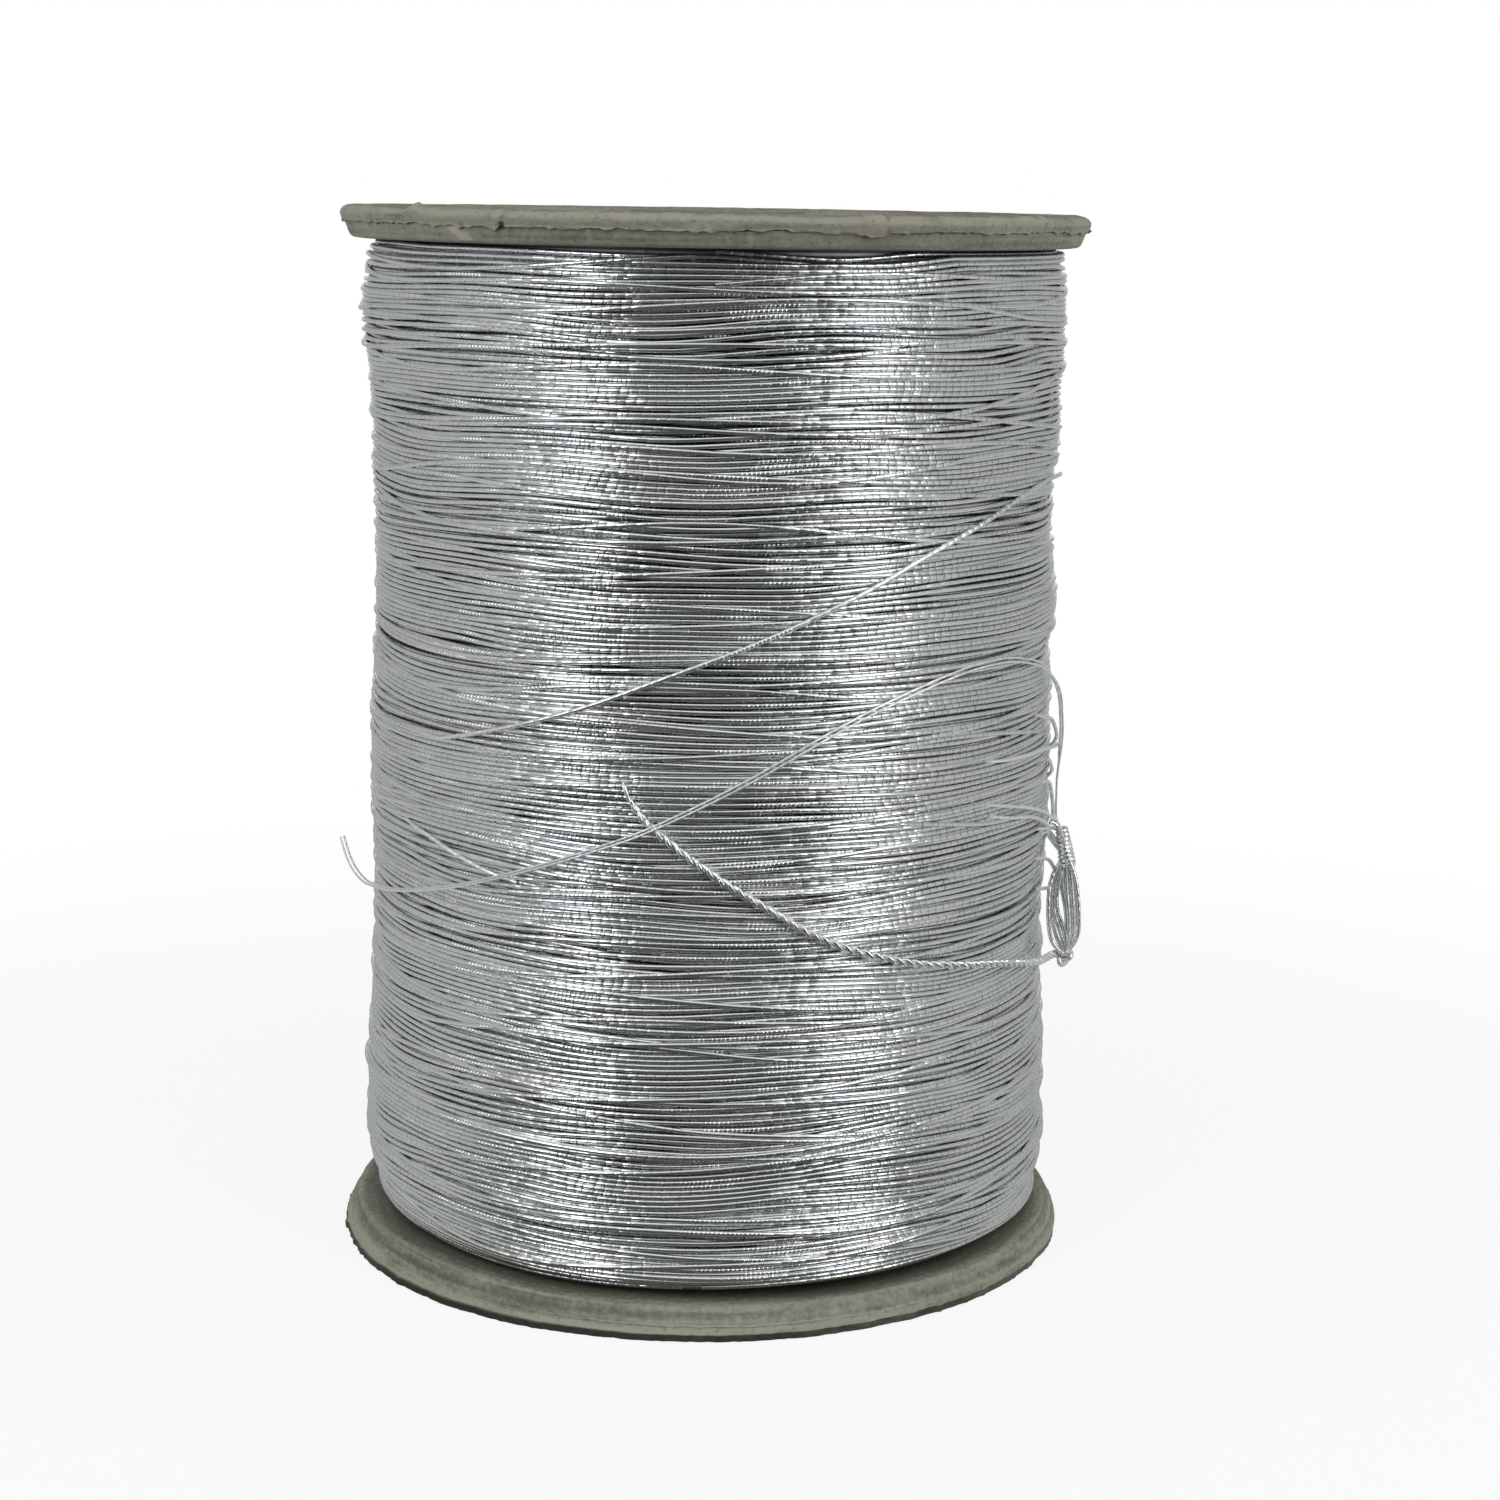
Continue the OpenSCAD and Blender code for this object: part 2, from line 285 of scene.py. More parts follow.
def wind_r(z):
    """Outermost radius of the winding at a height: a rounded foot, then a slow taper."""
    up = (np.asarray(z, float) - wind_z0) / wind_foot_h
    foot = wind_foot_r + (wind_low_r - wind_foot_r) * np.sin(np.pi / 2 * np.clip(up, 0, 1))
    share = (z - wind_z0 - wind_foot_h) / (wind_z1 - wind_z0 - wind_foot_h)
    return np.where(up < 1, foot, wind_low_r + (wind_top_r - wind_low_r) * share)


def place(around, r, z):
    """Points from their angle round the reel, radius and height."""
    a = np.radians(around)
    return np.stack(np.broadcast_arrays(r * np.sin(a), -r * np.cos(a), z), -1)


# ---- the thread, swept along a path by Geometry Nodes ----


def thread_tree():
    """Sweeps a round thread along every run of edges. Stores on it how far along the thread and how far
    round it each point is (lay), and which way the thread runs there (run)."""
    group = bpy.data.node_groups.new("thread_along_path", "GeometryNodeTree")
    inputs = (("Geometry", "Geometry"), ("Diameter", "Float"), ("Sides", "Int"), ("Material", "Material"))
    for name, kind in inputs:
        group.interface.new_socket(name, in_out="INPUT", socket_type="NodeSocket" + kind)
    group.interface.new_socket("Geometry", in_out="OUTPUT", socket_type="NodeSocketGeometry")
    tree = Tree(group)
    given = tree.node("NodeGroupInput")
    girth = tree.node("GeometryNodeInputNamedAttribute", {"data_type": "FLOAT"}, {"Name": "girth"})

    def captured(geometry, values):
        node = group.nodes.new("GeometryNodeCaptureAttribute")
        for i, (kind, value) in enumerate(values):
            node.capture_items.new(kind, f"held_{i}")
            tree.feed(node.inputs[i + 1], value)
        tree.feed(node.inputs[0], geometry)
        return [Num(tree, s) for s in node.outputs[: len(values) + 1]]

    line = tree.node("GeometryNodeMeshToCurve", {}, {"Mesh": given})
    length = tree.node("GeometryNodeSplineParameter", out="Length")
    run = tree.node("GeometryNodeInputTangent")
    start = tree.node("GeometryNodeInputNamedAttribute", {"data_type": "FLOAT"}, {"Name": "start"})
    along = length / MM + start
    line, along, run, girth = captured(line, [("FLOAT", along), ("VECTOR", run), ("FLOAT", girth)])
    ring = tree.node(
        "GeometryNodeCurvePrimitiveCircle",
        {"mode": "RADIUS"},
        {"Resolution": given.other("Sides"), "Radius": given.other("Diameter") / 2},
    )
    factor = tree.node("GeometryNodeSplineParameter", out="Factor")
    ring, factor = captured(ring, [("FLOAT", factor)])
    skin = tree.node(
        "GeometryNodeCurveToMesh",
        {},
        {"Curve": line, "Profile Curve": ring, "Scale": girth, "Fill Caps": True},
    )
    angle = factor * (2 * math.pi)
    lay = tree.node("ShaderNodeCombineXYZ", {}, {0: along, 1: angle.math("COSINE"), 2: angle.math("SINE")})
    for name, value in (("lay", lay), ("run", run)):
        skin = tree.node(
            "GeometryNodeStoreNamedAttribute",
            {"data_type": "FLOAT_VECTOR", "domain": "POINT"},
            {"Geometry": skin, "Name": name, "Value": value},
        )
    skin = tree.node("GeometryNodeSetShadeSmooth", {}, {"Geometry": skin})
    skin = tree.node("GeometryNodeSetMaterial", {}, {"Geometry": skin, "Material": given.other("Material")})
    skin = tree.node("GeometryNodeRealizeInstances", {}, {"Geometry": skin})
    tree.node("NodeGroupOutput", {}, {0: skin})
    return group


def sweep(name, paths, diameter, finish, sides=6, girth=None):
    """A thread along each path, as one mesh object at the origin."""
    points = np.concatenate(paths)
    edges = []
    start = []
    first = 0
    for i, path in enumerate(paths):
        edges += [(first + k, first + k + 1) for k in range(len(path) - 1)]
        start += [float(1000 * i)] * len(path)
        first += len(path)
    mesh = bpy.data.meshes.new(name + "_path")
    mesh.from_pydata((points * MM).tolist(), edges, [])
    mesh.attributes.new("start", "FLOAT", "POINT").data.foreach_set("value", start)
    widths = np.ones(len(points)) if girth is None else girth
    mesh.attributes.new("girth", "FLOAT", "POINT").data.foreach_set("value", widths)
    guide = add_object(name + "_path", mesh)
    modifier = guide.modifiers.new("thread", "NODES")
    modifier.node_group = THREAD_TREE
    given = {s.name: s.identifier for s in THREAD_TREE.interface.items_tree if s.in_out == "INPUT"}
    modifier[given["Diameter"]] = diameter * MM
    modifier[given["Sides"]] = sides
    modifier[given["Material"]] = finish
    skin = as_built(guide, name)
    bpy.data.objects.remove(guide)
    return add_object(name, skin)


def curve(points, steps):
    """A smooth curve through every point of a route, with some steps in each span."""
    p = np.asarray(points, float)
    n = len(p)
    found = []
    for i in range(n - 1):
        a, b, c, e = p[max(i - 1, 0)], p[i], p[i + 1], p[min(i + 2, n - 1)]
        u = (np.arange(steps) / steps)[:, None]
        slope = u * (c - a) / 2
        bend = u**2 * (a - 2.5 * b + 2 * c - e / 2)
        found.append(b + slope + bend + u**3 * (1.5 * (b - c) + (e - a) / 2))
    return np.concatenate([*found, p[-1:]])


def dressed(made, node=None):
    """Puts a piece of thread on the reel, in place of a CAD node if one is named."""
    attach(made, "root")
    if node:
        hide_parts(node)
    return made


# ---- the thread's finish ----

foil_pitch = 0.62  # the foil's wraps lie this far apart along the thread
fine_pitch = 0.28  # and this far where it is wrapped closer
edge_lean = 0.36  # how far the edge of a wrap turns away
bead_lean = 0.45  # and how round a bead is


def thread_finish(
    name, tilt=0.17, crown=0.15, marks=0.50, rough=0.17, tint=(0.82, 0.83, 0.82), plain=0.57, beads=None,
):
    """Metal foil wrapped round a thread: each wrap lies at its own slight angle and shows its edge.

    tilt: how far wraps lean by chance. crown: how round each is. marks: how dark their edges are.
    plain: how much of the thread has no close wraps. beads: how far along it the wraps turn to beads."""
    made, tree, shader = material(name)
    lay = tree.node("ShaderNodeAttribute", {"attribute_name": "lay"}, out="Vector")
    run = tree.node("ShaderNodeAttribute", {"attribute_name": "run"}, out="Vector")
    along, cosine, sine = tree.parts(lay)
    round_it = sine.math("ARCTAN2", cosine) / (2 * math.pi)
    uneven = tree.line_noise(along * 0.8, 1.0)
    turn = along / foil_pitch + round_it * 0.25 + uneven * 0.9
    wrap = turn.math("FLOOR")
    phase = turn - wrap
    chance = tree.node("ShaderNodeTexWhiteNoise", {"noise_dimensions": "1D"}, {"W": wrap}, out="Value")
    drift = tree.line_noise(along * 0.09, 2.0)
    shown = tree.ramp(drift, 0.36, 0.58)
    edge = (1 - tree.ramp(phase, 0.04, 0.19)) * shown
    # Here and there the foil is wrapped closer, and each narrow wrap shows
    fine = along / fine_pitch + round_it * 0.5 + uneven * 0.5
    close = tree.line_noise(along * 0.11 + 40, 1.0)
    notch = (1 - tree.ramp(fine - fine.math("FLOOR"), 0.08, 0.40)) * tree.ramp(close, plain, plain + 0.07)
    # Each wrap leans a little along the thread, by chance, and is crowned; its edge turns away
    lean = (chance - 0.5) * tilt + (phase - 0.5) * crown * (0.25 + 0.75 * shown)
    lean = lean + edge * edge_lean + notch * edge_lean
    if beads:
        lean = lean + bead_lean * (phase - 0.5) * tree.ramp(along, beads - 3, beads + 2)
    push = tree.node("ShaderNodeVectorMath", {"operation": "SCALE"}, {0: run, "Scale": lean})
    normal = tree.node("ShaderNodeNewGeometry", out="Normal")
    leant = tree.node("ShaderNodeVectorMath", {"operation": "ADD"}, {0: normal, 1: push})
    leant = tree.node("ShaderNodeVectorMath", {"operation": "NORMALIZE"}, {0: leant})
    hue = tree.line_noise(along * 0.05, 3.0)
    cool = (tint[0] * 0.975, tint[1], tint[2] * 1.02, 1)
    warm = (tint[0] * 1.015, tint[1], tint[2] * 0.985, 1)
    colour = tree.blend(tree.ramp(hue, 0.35, 0.65), cool, warm)
    dark = (tint[0] * 0.12, tint[1] * 0.12, tint[2] * 0.13, 1)
    colour = tree.blend(edge * marks, colour, dark)
    dulled = rough + 0.12 * chance + 0.2 * edge
    tree.fill(shader, {"Normal": leant, "Base Color": colour, "Roughness": dulled, "Metallic": 1.0})
    return made, tree, shader


def wound_finish():
    """The thread of the winding, with painted shade in the crevices between its turns (stronger up the
    winding, except right under the upper flange, and strongest at its front and back) and painted shade at
    the winding's foot.
    """
    made, tree, shader = thread_finish("silver_foil_thread")
    colour = Num(tree, shader.inputs["Base Color"].links[0].from_socket)
    x, y, z = tree.parts(tree.node("ShaderNodeTexCoord", out="Object"))
    r = (x * x + y * y).math("SQRT")
    nx, ny, _ = tree.parts(tree.node("ShaderNodeNewGeometry", out="Normal"))
    outward = (nx * x + ny * y) / r
    # Painted shade: darker where the thread's surface turns away from the winding's outside, in the crevices
    # between turns
    crevice_shade = 1 - tree.ramp(outward, 0.05, 0.85)
    high = tree.ramp(z, 8 * MM, 62 * MM) * (1 - 0.8 * tree.ramp(z, 65.5 * MM, 67.5 * MM))
    front = 0.10 + 1.25 * (y * y) / (r * r)
    # Painted shade at the winding's foot, where the lower flange shades it
    foot = 1 - tree.ramp(z, (wind_z0 + 0.2) * MM, (wind_z0 + 1.5) * MM)
    colour = tree.blend(crevice_shade * (0.10 + 0.50 * high) * front, colour, (0.16, 0.165, 0.17, 1))
    colour = tree.blend(foot * 0.7, colour, (0.10, 0.10, 0.10, 1))
    tree.feed(shader.inputs["Base Color"], colour)
    return made


# ---- the winding ----

COLUMNS = 120  # places in one turn at which it is settled on the turns below
press = 0.90  # a turn sinks a little into those it crosses
wound_d = thread_d * 1.07  # pressed a little flat, the turns close the gaps between them
last_sunk = 0.14  # the last pass lies that much deeper between its neighbours
least_pitch = 0.97  # of the thread's diameter, between neighbours of one layer
# The outermost layers, from the inside: turns, whether they climb, how far they wander, how many waves
# they make in a turn, and how far up the winding they wander alike
layers = (
    ("packed_turns", 186, True, 0.12, 5, 4.0),
    ("second_turns", 172, False, 0.22, 7, 3.0),
    ("outer_turns", 172, True, 0.18, 8, 2.2),
)
# and those that cross them, each its own way
crossing_turns = 38
last_turns = 24
cross_wander = (0.34, 5, 1.2, 0.9)  # how far they wander, waves, how far alike, and how far each strays
layer_ease = 1.6  # columns over which a taut turn of a layer changes its height
cross_ease = 2.2  # and one that crosses the layers

face_z = np.linspace(wind_z0 + thread_d / 2, wind_z1 - thread_d / 2, 800)
face_s = np.concatenate([[0], np.cumsum(np.hypot(np.diff(face_z), np.diff(wind_r(face_z))))])
face_lean = np.gradient(wind_r(face_z), face_z)


def wander(rng, places, step, spread):
    """Smooth random values at places along a line, which change over about a step."""
    cell = np.floor(places / step).astype(int)
    first = cell.min()
    knots = rng.normal(0, spread, cell.max() - first + 2)
    u = places / step - cell
    u = u * u * (3 - 2 * u)
    return knots[cell - first] * (1 - u) + knots[cell - first + 1] * u


def wobble(rng, s, around, step, reach, waves):
    """A smooth field over the winding: it runs on round the reel and changes slowly up it."""
    total = np.zeros(s.shape)
    for j in range(1, waves + 1):
        total += wander(rng, s, step, reach / j**0.6) * np.cos(j * around)
        total += wander(rng, s, step, reach / j**0.6) * np.sin(j * around)
    return total


def lay_turns(seed, turns, rising, reach, waves, step, stray=0.28):
    """How far up the winding's face each turn of a layer lies, at each column."""
    rng = np.random.default_rng(seed)
    k = np.arange(turns * COLUMNS)
    around = 2 * np.pi * k / COLUMNS
    span = face_s[-1]
    s = k / (turns * COLUMNS - 1) * span
    s = s + wander(rng, s, 2.2, stray) + wobble(rng, s, around, step, reach, waves)
    # Neighbours of one layer push each other aside where they would overlap
    least = k / COLUMNS * thread_d * least_pitch
    free = (s - least).reshape(turns, COLUMNS)
    up = np.maximum.accumulate(free, axis=0)
    down = np.minimum.accumulate(free[::-1], axis=0)[::-1]
    free = ((up + down) / 2).ravel()
    s = np.clip(free, 0, span - least[-1]) + least
    s = s if rising else span - s
    return s.reshape(turns, COLUMNS)


def settle(s, laid, floor):
    """How high each turn lies: on the floor, or on the turns laid before it."""
    h = np.empty(s.shape)
    for i, row in enumerate(s):
        h[i] = floor
        for below_s, below_h in laid:
            near = np.abs(below_s - row) < press * thread_d
            reach = np.sqrt(np.maximum((press * thread_d) ** 2 - (below_s - row) ** 2, 0))
            h[i] = np.maximum(h[i], np.where(near, below_h + reach, -9).max(axis=0))
    return h


def eased(h, spread):
    """A taut turn bridges the dips, so its height changes slowly along it."""
    flat = h.ravel()
    reach = int(3 * spread)
    k = np.arange(-reach, reach + 1)
    weights = np.exp(-((k / spread) ** 2) / 2)
    padded = np.pad(flat, reach, mode="edge")
    return np.convolve(padded, weights / weights.sum(), "valid").reshape(h.shape)


# Swells and hollows of the winding: round, up its face, how far each reaches, and how high it is
swells = (
    (-90, 67, 2.2, -0.32), (-90, 62, 3.2, 0.42), (-90, 46, 7, -0.12), (-90, 21, 7, -0.36),
    (90, 60.5, 3.2, 0.28), (90, 50, 2.5, -0.2), (90, 20.5, 6, -0.36), (-90, 30, 22, -0.20),
    (90, 47.3, 1.0, -0.25), (90, 43.0, 1.2, 0.22), (90, 39.7, 1.2, -0.25), (90, 5.9, 1.5, 0.22),
)


def lumps(s, around):
    """Slow unevenness of the winding: soft bulges, a waist at the left, and slacker feet at the sides."""
    rng = np.random.default_rng(SEED + 5)
    flat_s, flat_a = np.broadcast_arrays(s, around)
    bulge = wobble(rng, flat_s.ravel(), flat_a.ravel(), 3.2, 0.045, 4).reshape(flat_s.shape)
    waist = 0.30 * np.exp(-(((flat_s - 47) / 11) ** 2)) * (1 - np.sin(flat_a)) / 2
    slack = np.where(flat_a > np.pi, 0.75, 0.35)
    foot = np.exp(-(((flat_s - 2.2) / 1.5) ** 2)) * slack * np.sin(flat_a) ** 2
    for middle, up, reach, height in swells:
        facing = np.maximum(np.cos(flat_a - math.radians(middle)), 0) ** 2
        bulge = bulge + height * np.exp(-(((flat_s - up) / reach) ** 2)) * facing
    return bulge - waist - foot


def wound(s, h, top):
    """The points of turns that lie h high on a face whose full height is top, square to the face."""
    around = 2 * np.pi * np.arange(COLUMNS) / COLUMNS
    z = np.interp(s, face_s, face_z)
    lean = np.interp(s, face_s, face_lean)
    out = (h - top) / np.hypot(1, lean)
    r = wind_r(z) + lumps(s, around) + out
    z = np.clip(z - lean * out, wind_z0 + thread_d / 2, wind_z1 - thread_d / 2)
    return place(np.degrees(np.broadcast_to(around, s.shape)), r, z)


def add_winding():
    """The outermost layers, turn by turn, each settled on those below. Gives their places and heights."""
    finish = wound_finish()
    laid = []
    for i, (_, *how) in enumerate(layers):
        s = lay_turns(SEED + i, *how)
        h = eased(settle(s, laid, 0), layer_ease) if laid else np.zeros(s.shape)
        laid.append((s, h))
    top = float(np.percentile(laid[-1][1], 60)) + thread_d / 2
    for seed, turns, rising in ((SEED + 10, crossing_turns, False), (SEED + 20, last_turns, True)):
        s = lay_turns(seed, turns, rising, *cross_wander)
        h = eased(settle(s, laid, 0), cross_ease) - last_sunk
        laid.append((s, h))
    for (name, *_), (layer_s, layer_h) in zip(layers, laid):
        points = wound(layer_s, layer_h, top).reshape(-1, 3)
        half = len(layer_s) // 2 * COLUMNS
        for part, run in (("a", points[: half + 1]), ("b", points[half:])):
            dressed(sweep(f"{name}_{part}", [run], wound_d, finish))
    crossing, last = [wound(s, h, top).reshape(-1, 3) for s, h in laid[-2:]]
    dressed(sweep("crossing_turns", [crossing], wound_d, finish))
    dressed(sweep("last_pass", [last], wound_d, finish), "outer_layer")
    add_bed(top + thread_d)
    return [(s, h - top) for s, h in laid]


def closed_ring(name, points, pale=None):
    """A mesh from rows of points that close on themselves both ways."""
    rows, count = points.shape[:2]
    index = np.arange(rows * count).reshape(rows, count)
    beside_it, below = np.roll(index, -1, axis=1), np.roll(index, -1, axis=0)
    faces = np.stack([index, beside_it, np.roll(below, -1, axis=1), below], -1).reshape(-1, 4)
    mesh = bpy.data.meshes.new(name)
    mesh.from_pydata((points.reshape(-1, 3) * MM).tolist(), [], faces.tolist())
    if pale is not None:
        mesh.attributes.new("pale", "FLOAT", "POINT").data.foreach_set("value", pale.ravel())
    return mesh


bed_sunk = 0.25  # below the innermost turns that are modelled one by one
bed_off = 0.05  # clear of the barrel
bed_bevel = 1.1  # and of its fillets
bed_sides = 96


def add_bed(depth):
    """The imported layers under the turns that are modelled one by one."""
    z = np.linspace(wind_z0 + 0.02, wind_z1 - 0.02, 60)
    outside = [(float(wind_r(h)) - depth - bed_sunk, float(h)) for h in z]
    outline = np.array([
        (barrel_r + bed_bevel, z[0]), *outside, (barrel_r + bed_bevel, z[-1]),
        (barrel_r + bed_off, z[-1] - bed_bevel), (barrel_r + bed_off, z[0] + bed_bevel),
    ])
    around = np.arange(bed_sides) * 360 / bed_sides
    points = place(around, outline[:, :1], outline[:, 1:])
    bed = add_object("packed_layers", closed_ring("packed_layers", points))
    made, tree, shader = material("packed_thread")
    height = tree.parts(tree.node("ShaderNodeTexCoord", out="Object"))[2]
    # Painted turns: pale bands with painted shade between them, on a smooth surface
    ridge = (height * (2 * math.pi / (thread_d * MM))).math("SINE")
    colour = tree.blend(tree.ramp(ridge, -1, 1), (0.08, 0.08, 0.09, 1), (0.5, 0.5, 0.52, 1))
    tree.fill(shader, {"Base Color": colour, "Metallic": 1.0, "Roughness": 0.5})
    bed.data.materials.append(made)
    dressed(bed, "winding_core")


# ---- loose ends ----

# A loose end's route: degrees round from the front, height off the winding, height
upper_route = [
    (-47, 0, 36.8), (-34, 0, 38.1), (-20, 0, 39.9), (-6, 0, 42.2), (8, 0, 44.5), (22, 0, 47),
    (35, 0, 49.4), (48, 0, 51.2), (60, 0, 52.5), (72, 0, 53), (84, 0.3, 52.9),
]
loose_route = [
    (-88, 2.1, 26.9), (-84, 1.3, 25.3), (-80, 0.5, 24.6), (-74, 0, 24.8), (-59, 0, 25.9), (-42, 0, 27.6),
    (-26, 0, 29.8), (-15, 0.35, 31.6), (-9, 0.6, 32.7), (-3, 0.35, 33.9), (6, 0, 35.8), (18, 0, 38.5),
    (30, 0, 40.5), (43, 0, 41.8), (53, 0, 42.0), (62, 0, 41.5), (70, 0.1, 40.7), (75, 0.32, 39.6),
    (77.5, 0.50, 38.2), (78.8, 0.56, 36.4), (80, 0.50, 34.7), (81.2, 0.42, 33.2), (82.2, 0.32, 31.3),
    (83, 0.33, 29.4),
]
twisted_route = [
    (-13, 0, 35.5), (-11, 0, 34), (-8, 0, 32.7), (0, 0, 30.2), (9, 0, 27.8), (19, 0, 25.4),
    (32, 0, 23.6), (43, 0, 22.7), (54, 0, 21.9), (63, 0, 21.1), (70, 0.05, 20.5), (77, 0.2, 19.95),
]
route_steps = 10
ply_step = 0.09  # between the points of a twisted strand
tip_points = 13  # one of the twisted end's two plies stops so many points short


def surface_height(turns, around, z, reach):
    """How far the winding's outermost thread stands out, at places on it, within a reach."""
    s = np.interp(z, face_z, face_s)
    column = np.rint(around / 360 * COLUMNS).astype(int) % COLUMNS
    best = np.full(len(z), -9.0)
    for layer_s, layer_h in turns:
        gap = np.abs(layer_s[:, column] - s)
        stand = layer_h[:, column] + np.sqrt(np.maximum(reach**2 - gap**2, 0))
        best = np.maximum(best, np.where(gap < reach, stand, -9).max(axis=0))
    return best


def laid(turns, route, d):
    """A route's centreline, resting on the threads that it crosses."""
    p = curve(route, route_steps)
    reach = (thread_d + d) / 2
    lie = surface_height(turns, p[:, 0], p[:, 2], reach)
    rest = eased(np.maximum(lie, d / 2), 3.0) + lay_gap
    s = np.interp(p[:, 2], face_z, face_s)
    r = wind_r(p[:, 2]) + lumps(s, np.radians(p[:, 0])) + rest + np.maximum(p[:, 1], 0)
    return place(p[:, 0], r, p[:, 2])


def spaced(path, step):
    """The same line with its points evenly spaced."""
    gone = np.concatenate([[0], np.cumsum(np.linalg.norm(np.diff(path, axis=0), axis=1))])
    count = max(2, round(gone[-1] / step) + 1)
    at = np.linspace(0, gone[-1], count)
    return np.stack([np.interp(at, gone, column) for column in path.T], -1)


def twisted(path, offset, pitch, turn=0.0, step=ply_step):
    """A strand that winds round a line: offset from it, one turn in each pitch."""
    line = spaced(path, step)
    way = np.gradient(line, axis=0)
    way /= np.linalg.norm(way, axis=1)[:, None]
    side = np.cross(way, line * (1, 1, 0))
    side /= np.linalg.norm(side, axis=1)[:, None]
    up = np.cross(way, side)
    a = 2 * np.pi * (np.arange(len(line)) * step / pitch + turn)
    reach = np.broadcast_to(offset, len(line))
    return line + (reach * np.cos(a))[:, None] * side + (reach * np.sin(a))[:, None] * up


# The hank, in its own directions: out from the winding, round it, and up
hank_around = 83.0
hank_mid_z = 23.3
# Nine of its eleven runs lie between these lines, from the neck to the foot: out from the winding, height
left_outer = (
    (0.74, 26.1), (0.55, 25.7), (0.30, 25.2), (0.19, 24.1), (0.19, 22.95), (0.26, 21.8), (0.41, 20.8),
    (0.84, 20.1), (1.25, 19.9),
)
left_inner = (
    (1.02, 26.1), (0.88, 25.7), (0.70, 25.2), (0.56, 24.1), (0.59, 22.95), (0.84, 22.1), (1.15, 21.3),
    (1.40, 20.5), (1.42, 20.0),
)
right_outer = (
    (1.72, 26.1), (1.92, 25.7), (2.11, 24.9), (2.22, 24.1), (2.33, 22.95), (2.38, 21.8), (2.28, 21.0),
    (2.04, 20.55), (1.66, 20.05),
)
right_inner = (
    (1.24, 26.1), (1.28, 25.3), (1.36, 24.4), (1.45, 23.6), (1.55, 22.8), (1.63, 21.9), (1.68, 21.1),
    (1.62, 20.5), (1.50, 20.03),
)
# and the other two cross the middle
middle_down = (
    (1.12, 26.1), (1.06, 25.3), (1.06, 24.6), (1.16, 23.95), (1.34, 23.3), (1.46, 22.5), (1.53, 21.6),
    (1.54, 20.7), (1.49, 20.03),
)
middle_up = (
    (1.14, 26.1), (0.98, 25.3), (0.84, 24.6), (0.76, 23.9), (0.76, 23.1), (0.94, 22.45), (1.25, 21.8),
    (1.45, 21.2), (1.50, 20.5), (1.46, 20.0),
)
# Each loop: how far its runs lie from the outer line towards the inner one, down and up again, and
# how far round the reel each of them lies
hank_loops = (
    (0.02, 0.05, -0.95, -0.70), (0.50, 0.95, -0.42, -0.14),
    (0.95, 0.45, 0.14, 0.42), (0.28, 0.90, 0.70, 0.95),
)
hank_entry = (
    (0.0, -0.95, 29.2), (0.40, -0.9, 29.15), (0.80, -0.7, 28.7), (1.06, -0.45, 27.9), (1.26, -0.3, 26.9),
)
hank_d = 0.30
fold_rise = 0.34  # of the arch between two runs
run_points = 30
knot_middle = np.array((1.36, 0.2, 19.5))
neck_line = (
    (0.66, 0, 29.1), (0.86, 0, 28.7), (1.02, 0, 28.15), (1.19, 0, 27.3), (1.32, 0, 26.6), (1.42, 0, 25.95),
)
neck_r = (0.31, 0.49)  # at its top and its bottom
neck_pitch = 0.29
neck_step = 0.026
knot_r = 0.195


def beside(p):
    """Points in the hank's own directions, in the frame."""
    p = np.asarray(p, float)
    a = math.radians(hank_around)
    tangent = np.array((math.cos(a), math.sin(a), 0))
    return place(hank_around, float(wind_r(hank_mid_z)) + p[..., 0], p[..., 2]) + p[..., 1:2] * tangent


def hank_run(outer, inner, share, around, rising):
    """One run of a loop, between two lines, from the neck down to the foot or back up."""
    at = np.linspace(0, 1, run_points)
    lines = []
    for edge in (outer, inner):
        p = spaced(curve(edge, 6), 0.05)
        own = np.linspace(0, 1, len(p))
        lines.append(np.stack([np.interp(at, own, column) for column in p.T], -1))
    flat = lines[0] * (1 - share) + lines[1] * share
    spread = 0.3 + 0.7 * np.sin(np.pi * at) ** 0.6
    run = np.stack([flat[:, 0], around * spread, flat[:, 1]], -1)
    return run[::-1] if rising else run


def hank_line():
    """The hank's centreline, from the winding past the tight turns, round its loops, to the knot."""
    runs = [curve(hank_entry, 6)]
    for down, up, first, second in hank_loops:
        runs.append(hank_run(right_outer, right_inner, down, first, False))
        runs.append(hank_run(left_outer, left_inner, up, second, True))
    runs.append(hank_run(middle_down, middle_down, 0, 0.05, False))
    runs.append(hank_run(middle_up, middle_up, 0, -0.1, True))
    runs.append(hank_run(right_outer, right_inner, 0.72, 0.3, False))
    # Each fold, inside the neck or the knot, is an arch between two runs
    for at in range(len(runs) - 1, 1, -1):
        start, end = runs[at - 1][-1], runs[at][0]
        top = (start + end) / 2 + (0, 0, math.copysign(fold_rise, start[2] - hank_mid_z))
        arch = (start, start * 0.5 + top * 0.5, top, end * 0.5 + top * 0.5, end)
        runs.insert(at, curve(arch, 3)[1:-1])
    rough = np.concatenate(runs)
    reach = 3
    kernel = np.ones(2 * reach + 1) / (2 * reach + 1)
    smooth = [np.convolve(np.pad(rough[:, i], reach, mode="edge"), kernel, "valid") for i in range(3)]
    return spaced(beside(np.stack(smooth, -1)), 0.12)


